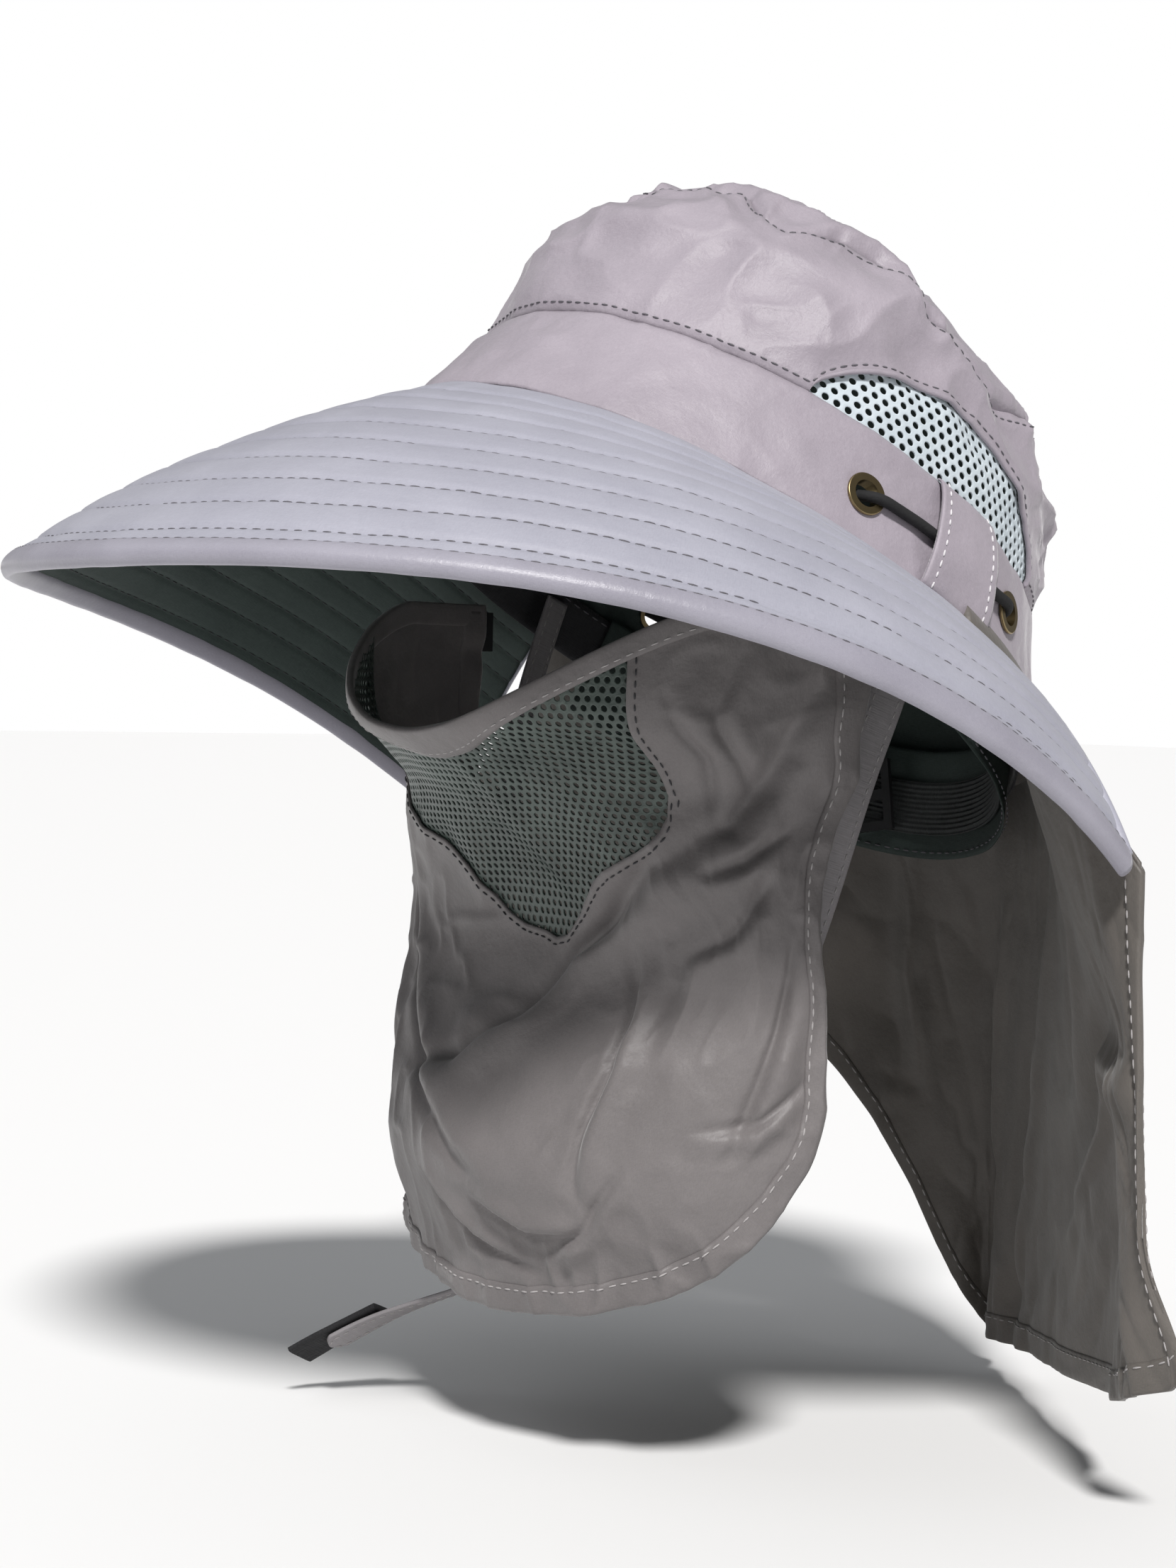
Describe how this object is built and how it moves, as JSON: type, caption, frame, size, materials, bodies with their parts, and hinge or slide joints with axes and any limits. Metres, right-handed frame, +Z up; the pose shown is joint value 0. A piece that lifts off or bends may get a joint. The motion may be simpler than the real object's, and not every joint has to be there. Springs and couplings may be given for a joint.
{
  "type": "sun hat with face mask and neck flap",
  "caption": "Wide-brimmed cloth sun hat with mesh vents, cinch cord, detachable mesh face mask, neck flap and chin strap.",
  "frame": {"origin": "centre of the head opening, where the wearer's head holds the hat", "axes": "+Z up as the hat hangs with its front tipped up, -Y to the wearer's front, +X to the wearer's left"},
  "size_m": [0.2914, 0.2988, 0.315],
  "materials": {
    "shell_cloth": "matte woven nylon",
    "brim_cloth": "matte woven nylon",
    "binding_cloth": "satin bias binding",
    "lining_cloth": "matte dark lining",
    "stiffener_foam": "interfacing",
    "vent_mesh": "spacer mesh",
    "mask_mesh": "spacer mesh",
    "mask_cloth": "matte woven nylon",
    "flap_cloth": "matte woven nylon",
    "sweatband_cloth": "terry",
    "webbing": "ribbed tape",
    "brass": "aged",
    "cord": "braided elastic",
    "lock_plastic": "moulded",
    "spring_steel": "wire",
    "hook_plastic": "hook tape",
    "slider_plastic": "moulded"
  },
  "bodies": {
    "hat": {"crown_top": "shell_cloth", "crown_wall": "shell_cloth", "crown_band": "shell_cloth", "vent_mesh_left": "vent_mesh", "vent_mesh_right": "vent_mesh", "cord_tab_left": "shell_cloth", "cord_tab_right": "shell_cloth", "eyelets_left": "brass", "eyelets_right": "brass", "eyelets_rear": "brass", "adjusting_cord": "cord", "cord_end_knots": "cord", "sweatband": "sweatband_cloth", "rear_liner": "webbing", "size_webbing": "webbing", "size_slider": "slider_plastic", "brim_cover": "brim_cloth", "brim_stiffener": "stiffener_foam", "brim_lining": "lining_cloth", "brim_binding": "binding_cloth", "flap_seam_strip": "shell_cloth", "mask_loop_patches": "hook_plastic"},
    "cord_lock": {"lock_barrel": "lock_plastic", "lock_spring": "spring_steel"},
    "lock_button": {"lock_plunger": "lock_plastic"},
    "mask_mount": {"mask_hook_patches": "hook_plastic"},
    "face_mask": {"mask_mesh": "mask_mesh", "mask_panel_left": "mask_cloth", "mask_panel_right": "mask_cloth", "mask_chin_panel": "mask_cloth", "mask_binding": "binding_cloth", "mask_hem": "mask_cloth"},
    "neck_flap": {"flap_panel": "flap_cloth", "flap_hem": "flap_cloth"},
    "chin_strap": {"strap_left": "flap_cloth", "strap_right": "flap_cloth", "strap_tongue": "flap_cloth", "strap_hook_pad": "hook_plastic"}
  },
  "joints": [
    {"name": "mask_release", "type": "slide", "parent": "hat", "child": "mask_mount", "axis": [0, -0.9404, -0.3401], "range_m": [0, 0.08]},
    {"name": "mask_swing", "type": "hinge", "parent": "mask_mount", "child": "face_mask", "pos_m": [0, -0.01, 0.005], "axis": [-1, 0, 0], "range_deg": [0, 15]},
    {"name": "flap_swing", "type": "hinge", "parent": "hat", "child": "neck_flap", "pos_m": [0, 0.055, -0.058], "axis": [1, 0, 0], "range_deg": [0, 12]},
    {"name": "strap_swing", "type": "hinge", "parent": "hat", "child": "chin_strap", "pos_m": [0, 0.003, 0.004], "axis": [1, 0, 0], "range_deg": [0, 15]},
    {"name": "lock_slide", "type": "slide", "parent": "hat", "child": "cord_lock", "axis": [1, 0, 0], "range_m": [-0.004, 0.004]},
    {"name": "lock_press", "type": "slide", "parent": "cord_lock", "child": "lock_button", "axis": [0, 0, -1], "range_m": [0, 0.0025], "stiffness_N_per_m": 600, "springref_m": -0.002, "deforming": ["lock_spring"]}
  ]
}
